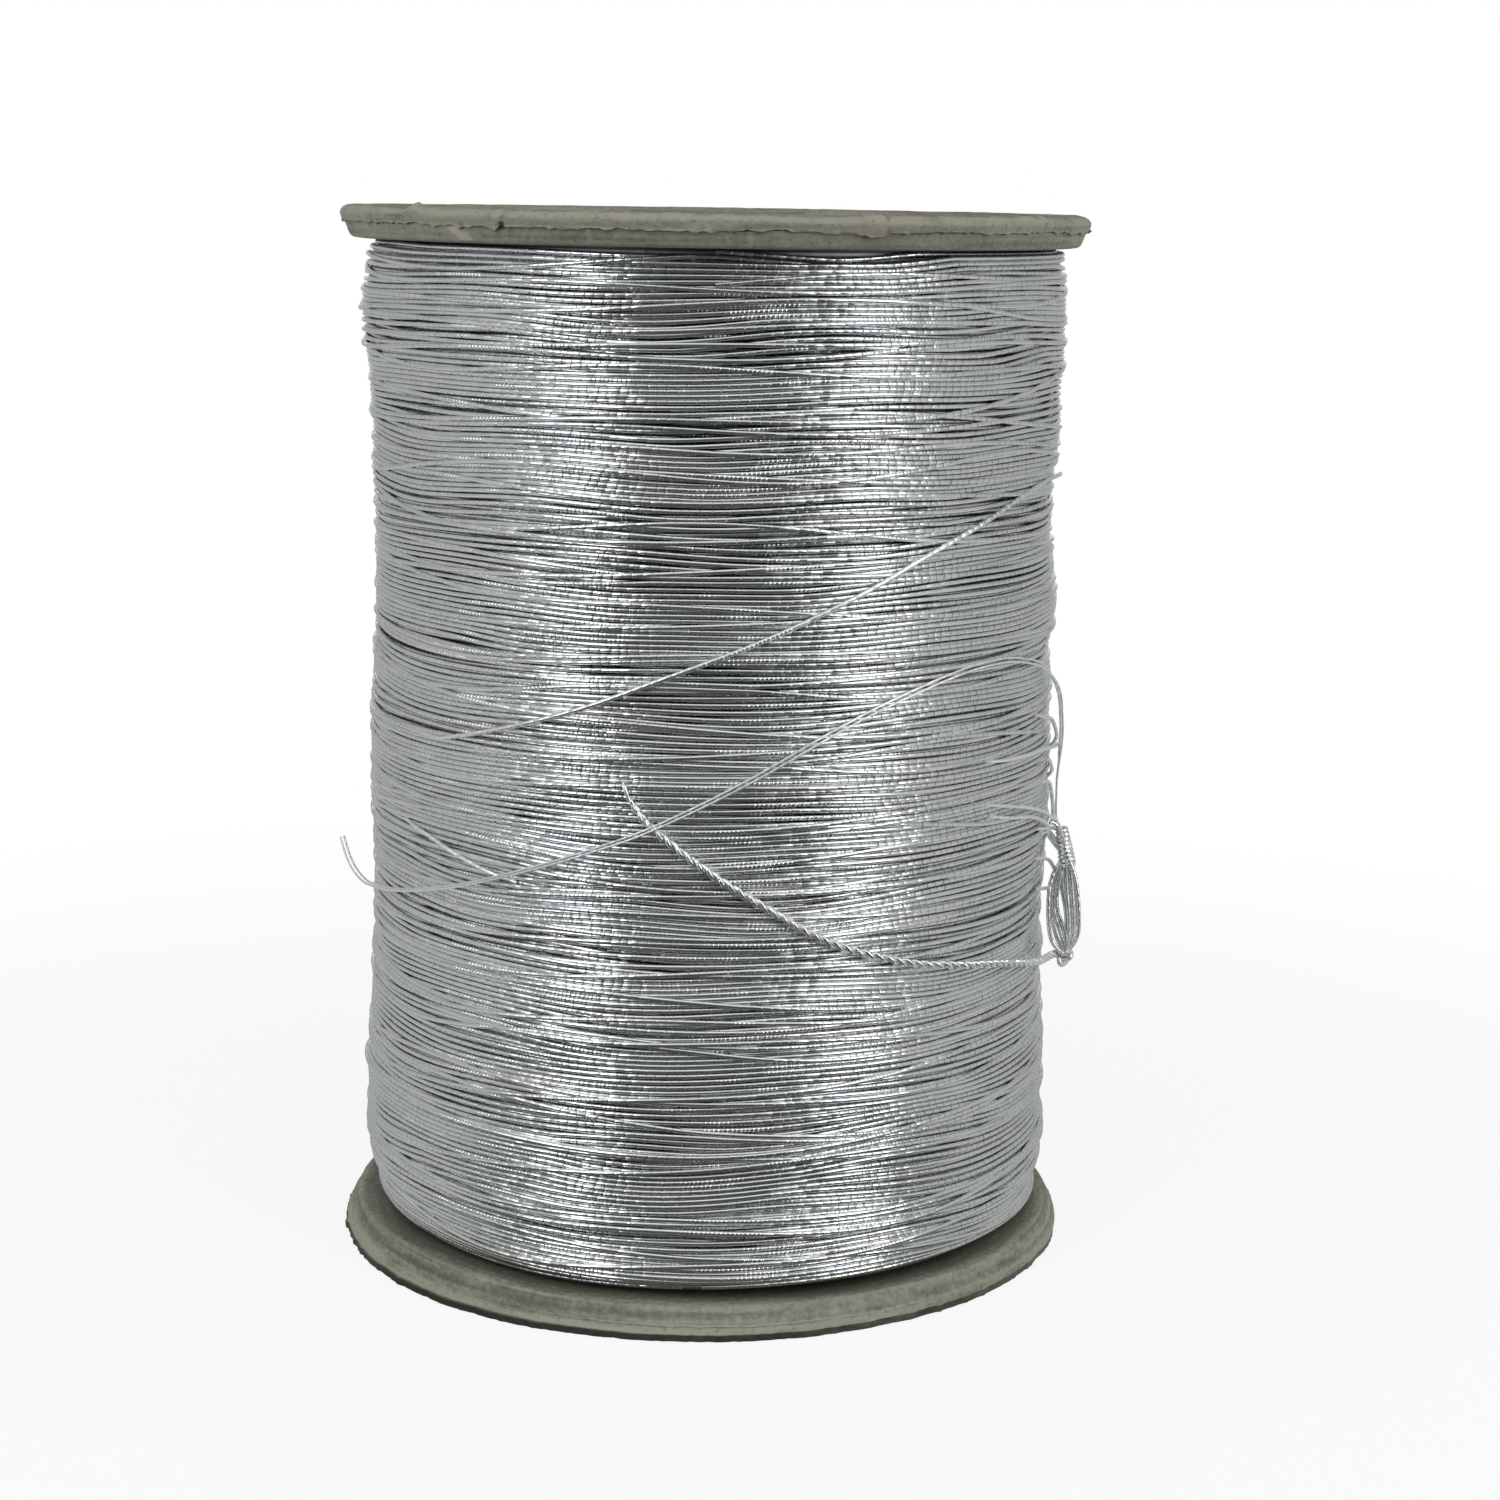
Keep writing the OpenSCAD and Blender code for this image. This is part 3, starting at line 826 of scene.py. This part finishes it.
def add_hank(finish):
    line = hank_line()
    hank = dressed(sweep("hank_loops", [line], hank_d, finish, sides=8), "tail_hank")
    neck = spaced(beside(curve(neck_line[1:], 8)), neck_step)
    turns = twisted(neck, np.linspace(*neck_r, len(neck)), neck_pitch, step=neck_step)
    wrap = dressed(sweep("hank_neck_turns", [turns], hank_d, finish, sides=8), "hank_wrap")
    t = np.linspace(0, 2 * np.pi, 90)
    knot = np.stack([
        np.sin(t) + 2 * np.sin(2 * t), np.cos(t) - 2 * np.cos(2 * t), -1.6 * np.sin(3 * t),
    ], -1) * knot_r
    knot = beside(knot_middle + knot[:, (0, 2, 1)])
    pale = loose_finish("knotted_foil_thread", crown=0.3, marks=0.2, rough=0.42, tint=(0.90, 0.89, 0.84))
    tied = dressed(sweep("hank_tied_knot", [knot], hank_d * 1.2, pale, sides=8), "hank_knot")


# Slack stretches of the outer turns, their ends sunk among the other turns: round, out from the
# winding, height. All but the last are at the right.
slack_stretches = (
    ((68, -0.3, 37.5), (74, 0, 37.0), (78, 0.2, 36.5), (80.5, 0.42, 35.6), (82.5, 0.40, 34.9),
     (85.5, 0, 34.1), (89, -0.3, 33.7)),
    ((50, -0.3, 35.5), (55, 0.05, 35.4), (62, 0.18, 35.3), (69, 0.2, 35.15), (76, 0.32, 34.8),
     (81.5, 0.62, 34.65)),
    ((70, -0.3, 34.2), (77, 0, 33.9), (81, 0.12, 33.2), (84, 0.16, 32.5), (88, -0.3, 31.6)),
    ((74, -0.3, 32.6), (79, 0.1, 32.1), (81.5, 0.26, 30.9), (82.5, 0.34, 29.9), (83, 0.3, 29.0)),
    ((46, -0.3, 33.1), (52, 0.05, 32.6), (61.7, 0.2, 31.8), (70, 0.24, 30.9), (76, 0.25, 30.1),
     (80, 0.32, 29.6), (82.5, 0.55, 29.2), (83, 0.8, 28.8)),
    ((50, -0.3, 32.0), (56, 0.1, 31.5), (63.8, 0.2, 31.0), (72, 0.2, 30.0), (78, 0.2, 29.1),
     (81, 0.35, 28.8), (83, 0.75, 28.5)),
    ((70, -0.3, 29.6), (76, 0.1, 29.2), (80.5, 0.15, 28.6), (82.5, 0.45, 28.0), (83, 0.85, 27.3)),
    ((72, -0.3, 29.0), (78, 0.1, 28.8), (81.5, 0.1, 28.2), (83, 0.5, 27.5), (83, 1.0, 26.9)),
    ((71, -0.3, 27.5), (75, 0, 27.2), (78.5, 0.15, 26.8), (81, 0.3, 26.4), (84, 0.5, 25.7)),
    ((72, -0.3, 25.3), (76, 0, 25.0), (79.5, 0.1, 24.7), (82, 0.15, 24.4), (84, 0.3, 23.9)),
    ((-58, -0.3, 30.8), (-54, -0.06, 30.55), (-49, 0.0, 30.2), (-43, 0.02, 29.55), (-36, 0.0, 28.85),
     (-31, -0.3, 28.4)),
)
slack_d = 0.27
loose_tilt = 0.14  # a loose thread's wraps lean less than those of the winding
bead_start = 38  # how far along the upper tail its wraps turn to beads
loose_ply_d = 0.15
loose_apart = 0.132  # from the loose tail's middle line to each of its two plies
loose_closer = 0.052  # and that much closer in its first stretch from the hank
side_by_side = 400.0  # so long a pitch that the plies lie side by side
twisted_ply_d = 0.27
twist_reach = 0.143  # from the twisted tail's middle line to each of its two plies
twist_pitch = 1.6
twist_tip = 2.6  # its plies close up over this length at its tip


def loose_finish(name, **look):
    return thread_finish(name, tilt=loose_tilt, **look)[0]


def add_upper_tail(turns):
    """One thread, whose wraps turn to beads on its way."""
    line = laid(turns, upper_route, upper_d)
    finish = loose_finish(
        "beaded_foil_thread", crown=0.30, marks=0.35, rough=0.26, tint=(0.90, 0.915, 0.91), beads=bead_start,
    )
    made = sweep("upper_tail_thread", [line], upper_d, finish, sides=10)
    dressed(made, "upper_tail")


def add_loose_tail(turns, finish):
    """Two plies side by side, from inside the hank's neck to the free end at the left."""
    line = np.concatenate([laid(turns, loose_route, tail_d), beside(curve(neck_line, 8))])[::-1]
    line = spaced(line, ply_step)
    gone = np.arange(len(line)) * ply_step
    slim = 1 - 0.1 * np.clip(1 - gone / 12, 0, 1)
    turned = 0.25 * np.clip((gone - 7.5) / 2, 0, 1) * np.clip((15.5 - gone) / 2, 0, 1)
    apart = loose_apart - loose_closer * np.clip((17 - gone) / 3, 0, 1)
    plies = [twisted(line, apart, side_by_side, turn + turned) for turn in (0.0, 0.5)]
    girth = np.concatenate([slim] * 2)
    made = sweep("loose_tail_thread", plies, loose_ply_d, finish, sides=8, girth=girth)
    dressed(made, "loose_tail")


def add_twisted_tail(turns, finish):
    """Two plies twisted together, from the knot up to the front. One stops short of the other."""
    knot_side = beside([(0.75, 0.0, 19.72), (1.1, 0.1, 19.6)])
    line = np.concatenate([laid(turns, twisted_route, twisted_d), knot_side])[::-1]
    line = spaced(line, ply_step)
    left = np.linspace(1, 0, len(line)) * len(line) * ply_step
    open_up = np.clip(left / twist_tip, 0.25, 1)
    plies = [twisted(line, twist_reach * open_up, twist_pitch, turn + 0.25) for turn in (0, 0.5)]
    plies[1] = plies[1][:-tip_points]
    girth = 0.94 + 0.06 * open_up
    girth = np.concatenate([girth, girth[:-tip_points]])
    made = sweep("twisted_tail_thread", plies, twisted_ply_d, finish, sides=8, girth=girth)
    dressed(made, "twisted_tail")


def add_slack_turns(finish):
    slack = []
    for route in slack_stretches:
        p = curve(route, route_steps)
        slack.append(place(p[:, 0], wind_r(p[:, 2]) + p[:, 1], p[:, 2]))
    dressed(sweep("slack_turns", slack, slack_d, finish, sides=8))


def add_loose_ends(turns):
    white = loose_finish(
        "loose_foil_thread", crown=0.32, marks=0.30, rough=0.32, tint=(0.96, 0.975, 0.97), plain=0.58,
    )
    add_upper_tail(turns)
    add_loose_tail(turns, white)
    bright = loose_finish(
        "twisted_foil_thread", crown=0.36, marks=0.36, rough=0.20, tint=(0.93, 0.945, 0.94), plain=0.52,
    )
    add_twisted_tail(turns, bright)
    add_hank(bright)
    add_slack_turns(white)


# ---- the spool ----

rim_turns = 1080  # places round the rim
hub_r = (4.5, 5.9)  # bore and outside of the spindle tube
bore_lead = 0.4
pocket_r = 11.4
pocket_draft = 0.5
rib_t = 1.2
rib_count = 6
web_t = 2.0
recess = 0.6
sharp_angle = 38
pocket_points = 14  # along each of a pocket's two curved walls

# One end of the outline: radius, distance from the end face, and how far each kind of unevenness
# moves it: the rim's outline, its outer edge, and the torn parting line
end_rows = (
    (hub_r[0], bore_lead, 0, 0, 0), (hub_r[0] + bore_lead, 0, 0, 0, 0), (hub_r[1] - 0.1, 0, 0, 0, 0),
    (hub_r[1], 0.1, 0, 0, 0), (hub_r[1], recess, 0, 0, 0), (9.0, recess, 0, 0, 0), (12.4, recess, 0, 0, 0),
    (17.0, recess, 0, 0, 0), (22.35, recess, 0, 0, 0), (22.55, 0.48, 0, 0, 0), (22.72, 0.08, 0, 0, 0),
    (22.85, 0, 0, 0.2, 0), (23.9, 0, 0.2, 0.4, 0), (24.3, 0.03, 0.6, 0.8, 0), (24.55, 0.09, 0.8, 1, 0),
    (24.76, 0.20, 1, 1, 0), (24.91, 0.35, 1, 0.7, 0), (24.97, 0.52, 1, 0.3, 0), (24.94, 0.68, 1, 0.1, 0.1),
    (24.87, 0.83, 1, 0, 0.4), (24.83, 0.93, 1, 0, 0.8), (24.82, 1.00, 1, 0, 1), (24.79, 1.04, 1, 0, 1),
    (24.66, 1.05, 1, 0, 1), (24.63, 1.10, 1, 0, 0.8), (24.61, 1.20, 1, 0, 0.2), (24.54, 1.40, 1, 0, 0),
    (24.45, 1.65, 1, 0, 0), (24.36, 1.86, 1, 0, 0), (24.28, 1.98, 0.8, 0, 0), (24.12, 2.07, 0.5, 0, 0),
    (23.9, 2.1, 0.2, 0, 0), (22.6, 2.1, 0, 0, 0), (21.0, 2.1, 0, 0, 0), (18.0, 2.1, 0, 0, 0),
    (14.0, 2.1, 0, 0, 0), (13.4, 2.3, 0, 0, 0), (13.1, 2.6, 0, 0, 0), (13.0, 3.1, 0, 0, 0),
)
lip_row, step_row = 22, 23  # the flash's edge, and the step behind it
outer_rows = slice(12, 23)  # the end plate's half of the rim
inner_rows = slice(24, 30)  # and the half made by the side slides
edge_rows = slice(12, 17)  # its outer edge
# Rows of the inner face that get painted shade towards the winding:
shaded_face_rows = slice(32, 36)  # the inner face, dark towards the winding


def round_noise(rng, step, spread):
    """Smooth random values round the rim that change over about a step of degrees."""
    count = round(360 / step)
    knots = rng.normal(0, spread, count)
    u = np.arange(rim_turns) * count / rim_turns
    cell = u.astype(int)
    u = u - cell
    u = u * u * (3 - 2 * u)
    return knots[cell] * (1 - u) + knots[(cell + 1) % count] * u


def hump(at, width):
    """1 at a place round the rim, and 0 some widths away."""
    gap = (np.arange(rim_turns) * 360 / rim_turns - at + 180) % 360 - 180
    return np.exp(-((gap / width) ** 2))


def mark_upper_rim(r, h, pale):
    """The upper rim's own marks, from left to right, some of them painted light and shade."""
    edge = slice(13, 18)
    torn = slice(lip_row - 2, step_row + 1)
    nicks = hump(-3.0, 0.5) + hump(-1.1, 0.4) + hump(1.6, 0.3)
    # Painted shadow along the step under the flash, the top edge drawn a little darker, and painted light on
    # the recess's outer wall
    pale[step_row] -= 3.2
    pale[12:14] -= 0.9
    pale[8:10] += 1.0
    pale[15:22] += 0.5
    h[edge] -= 0.38 * hump(-48.8, 1.5) - 0.06 * hump(-43, 2.2) + 0.05 * hump(-37, 1.6)
    r[inner_rows] += 0.07 * hump(-38.9, 1.7)
    for step, row in enumerate(range(24, 29)):
        pale[row] += 5.0 * hump(-40.6 + 0.6 * step, 2.3 - 0.25 * step)
    # Painted shadow beside the flake
    pale[19:23] -= 1.3 * hump(-38.2, 0.6)
    pale[inner_rows] += 0.5
    h[torn] += 0.22 * hump(-38.9, 0.8) + 0.16 * hump(-32.2, 0.5) - 0.20 * hump(-31.0, 0.5)
    r[outer_rows] += 0.11 * hump(-31.9, 0.4) - 0.16 * hump(-31.0, 0.4)
    pale[outer_rows] += 1.6 * hump(-31.9, 0.45)
    # Painted shade in the nick
    pale[19:25] -= 5 * hump(-31.1, 0.35)
    r[inner_rows] += 0.06 * hump(-17.7, 0.35)
    pale[inner_rows] += 1.0 * hump(-17.7, 0.4)
    r[lip_row - 3: lip_row + 1] += 0.13 * nicks
    pale[lip_row - 2: step_row] += 1.5 * nicks
    h[torn] += 0.09 * (hump(-2.6, 0.7) + hump(-0.6, 0.6)) - 0.12 * hump(4.15, 0.4)
    r[inner_rows] += 0.09 * hump(4.7, 0.26)
    pale[inner_rows] += 1.5 * hump(4.7, 0.30)
    r[outer_rows] -= 0.09 * hump(4.2, 0.35)
    drip = hump(22.3, 1.7) ** 0.7
    h[lip_row - 3: step_row + 1] += 0.34 * drip
    h[torn] += 0.08 * hump(15.5, 2.5)
    r[outer_rows] += 0.06 * drip
    # Painted highlight on the drip, and painted shade at its sides
    pale[outer_rows] += 0.8 * drip
    pale[outer_rows] -= 0.9 * (hump(20.4, 0.35) + hump(24.2, 0.35))
    r[outer_rows] += 0.11 * hump(55.5, 0.35)
    pale[outer_rows] += 1.3 * hump(55.5, 0.4)
    h[edge] -= 0.12 * hump(55.5, 0.5)


def mark_lower_rim(r, h, pale):
    """The lower rim's marks."""
    r[inner_rows] += 0.05 * hump(5.4, 0.35)
    pale[inner_rows] += 0.5 * hump(5.4, 0.4) + 0.5 * hump(20, 0.6) + 0.4 * hump(24, 1.2)
    r[outer_rows] += 0.10 * (hump(-78, 0.8) + hump(-52, 0.7)) - 0.10 * hump(66, 1.2)
    # Its outer edge is sharp, spread at the left, and drawn dark, less so at the right
    r[11:17] += np.array((1.10, 0.72, 0.50, 0.34, 0.18, 0.06))[:, None]
    h[13:16] *= 0.4
    h[16:18] += np.array((0.13, 0.03))[:, None]
    r[edge_rows] += 0.62 * hump(-48, 36)
    r[17] += 0.35 * hump(-48, 36)
    pale[edge_rows] -= 4.6 * (1 - 0.6 * hump(60, 50))
    pale[17] += 0.8
    # and its parting line is faint
    r[step_row: step_row + 4] += np.array((0.10, 0.11, 0.09, 0.05))[:, None]


def rim_points(seed, marks, upper):
    """One end of the spool, row by row round the rim, and how pale its plastic is drawn there, painted light
    and shade included.
    """
    rng = np.random.default_rng(seed)
    rows = np.array(end_rows)
    outline = round_noise(rng, 24, 0.035) + round_noise(rng, 5, 0.016) + round_noise(rng, 1.4, 0.008)
    edge = round_noise(rng, 14, 0.035) + round_noise(rng, 3, 0.026) + round_noise(rng, 0.9, 0.012)
    torn = round_noise(rng, 9, 0.045) + round_noise(rng, 2.2, 0.035) + round_noise(rng, 0.8, 0.040)
    flash = np.abs(round_noise(rng, 1.5, 0.08)) + np.abs(round_noise(rng, 6, 0.04)) - 0.05
    if not upper:
        flash, torn = flash * 0.3, torn * 0.5
    r = rows[:, 0:1] + rows[:, 2:3] * outline
    h = rows[:, 1:2] + rows[:, 3:4] * edge + rows[:, 4:5] * torn
    chips = round_noise(rng, 0.8, 0.03) + np.maximum(round_noise(rng, 1.1, 0.08) - 0.1, 0)
    r[edge_rows] += chips * (0.3 if upper else 1)
    pale = np.zeros(r.shape)
    pale[outer_rows] += 0.55 + 0.25 * round_noise(rng, 4, 1.0)
    # Painted shade on the inner face, darker towards the winding
    pale[shaded_face_rows] -= np.array((1.6, 3.0, 4.0, 4.0))[:, None]
    for row in range(17, 32):
        pale[row] += round_noise(rng, 25, 0.45)
    r[lip_row - 1: lip_row + 1] += flash
    marks(r, h, pale)
    z = reel_h - h if upper else h
    around = np.arange(rim_turns) * 360 / rim_turns
    return place(around, r, z), pale


def pocket_mesh():
    """The pockets between the ribs, at both ends, as plain solids to cut away."""
    points, faces = [], []
    for sector in range(rib_count):
        for upper in (False, True):
            first = len(points)
            for depth in (0.3, reel_h / 2 - web_t / 2):
                taper = pocket_draft * (depth - recess) / (reel_h / 2)
                for radius, order in ((hub_r[1] + 0.2 + taper, 1), (pocket_r - taper, -1)):
                    half = 180 / rib_count - math.degrees(math.asin(rib_t / 2 / radius))
                    spread = np.linspace(-half, half, pocket_points)[::order]
                    around = 90 + 360 * (sector + 0.5) / rib_count + spread
                    points += place(around, radius, reel_h - depth if upper else depth).tolist()
            ring = 2 * pocket_points
            walls = [(k, (k + 1) % ring, ring + (k + 1) % ring, ring + k) for k in range(ring)]
            caps = [tuple(range(ring))[::-1], tuple(range(ring, 2 * ring))]
            for face in walls + caps:
                face = face if upper else face[::-1]
                faces.append(tuple(first + k for k in face))
    mesh = bpy.data.meshes.new("pockets")
    mesh.from_pydata((np.array(points) * MM).tolist(), [], faces)
    return mesh


def add_spool():
    low, low_pale = rim_points(SEED + 31, mark_lower_rim, False)
    high, high_pale = rim_points(SEED + 32, mark_upper_rim, True)
    points = np.concatenate([low, high[::-1]])
    mesh = closed_ring("moulded_spool", points, np.concatenate([low_pale, high_pale[::-1]]))
    spool = add_object("moulded_spool", mesh)
    cutter = add_object("pockets", pocket_mesh())
    cut = spool.modifiers.new("pockets", "BOOLEAN")
    cut.operation = "DIFFERENCE"
    cut.solver = "MANIFOLD"
    cut.object = cutter
    whole = as_built(spool, "moulded_spool")
    spool.modifiers.clear()
    spool.data = whole
    bpy.data.objects.remove(cutter)
    for face in whole.polygons:
        face.use_smooth = True
    whole.set_sharp_from_angle(angle=math.radians(sharp_angle))
    whole.materials.clear()
    whole.materials.append(plastic_finish())
    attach(spool, "root")
    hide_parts("spool_body")


def plastic_finish():
    """Dull olive grey plastic with moulding streaks round the rims, scuffs and a few brownish stains. The
    rims' pale values lighten or darken it: besides its own pale chips and flakes, they carry painted light
    and shade.
    """
    made, tree, shader = material("spool_plastic")
    spot = tree.node("ShaderNodeTexCoord", out="Object")
    x, y, z = tree.parts(spot)
    r = (x * x + y * y).math("SQRT")
    across = (z + r) * 9
    streak_at = tree.node("ShaderNodeCombineXYZ", {}, {0: x, 1: y, 2: across})
    streaks = tree.noise(streak_at, 330.0, 4.0)
    clouds = tree.noise(spot, 170.0, 4.0)
    grit = tree.noise(spot, 2400.0, 3.0)
    stains = tree.ramp(tree.noise(spot, 95.0, 2.0), 0.60, 0.74)
    pale = tree.node("ShaderNodeAttribute", {"attribute_name": "pale"}, out="Fac")
    tone = 0.36 * streaks + 0.26 * clouds + 0.38 * grit + 0.16 * pale.math("MAXIMUM", -1)
    colour = tree.blend(tree.ramp(tone, 0.29, 0.71), (0.128, 0.120, 0.091, 1), (0.360, 0.346, 0.274, 1))
    pits = tree.ramp(tree.noise(spot, 3600.0, 2.0), 0.60, 0.72)
    colour = tree.blend(pits * 0.45, colour, (0.085, 0.078, 0.058, 1))
    face = 1 - tree.ramp(r, 21.5 * MM, 23.7 * MM)
    colour = tree.blend(face * 0.5, colour, (0.235, 0.224, 0.176, 1))
    colour = tree.blend(tree.ramp(pale, 2.0, 4.0), colour, (0.54, 0.51, 0.41, 1))
    # Very low pale values turn the plastic nearly black: painted shade on the inner faces by the winding,
    # under the flash's step and in a nick, and the lower rim's dark outer edge
    dulled = 1 - tree.ramp(pale, -3.5, -1.0)
    colour = tree.blend(dulled, colour, (0.050, 0.048, 0.036, 1))
    colour = tree.blend(stains * 0.45, colour, (0.235, 0.190, 0.150, 1))
    bumps = 0.5 * grit + 0.5 * tree.noise(spot, 900.0, 3.0)
    bump = tree.node("ShaderNodeBump", {}, {"Strength": 1.0, "Distance": 0.00018, "Height": bumps})
    tree.fill(shader, {"Base Color": colour, "Roughness": 0.52 + 0.25 * clouds, "Normal": bump})
    return made


THREAD_TREE = thread_tree()
add_camera()
add_world()
add_floor()
add_lamp("left_soft_box", -43.5, 12, 400, 132, 420, 0.51)
add_lamp("right_soft_box", 51, 12, 400, 165, 420, 0.54)
turns_laid = add_winding()
add_loose_ends(turns_laid)
add_spool()
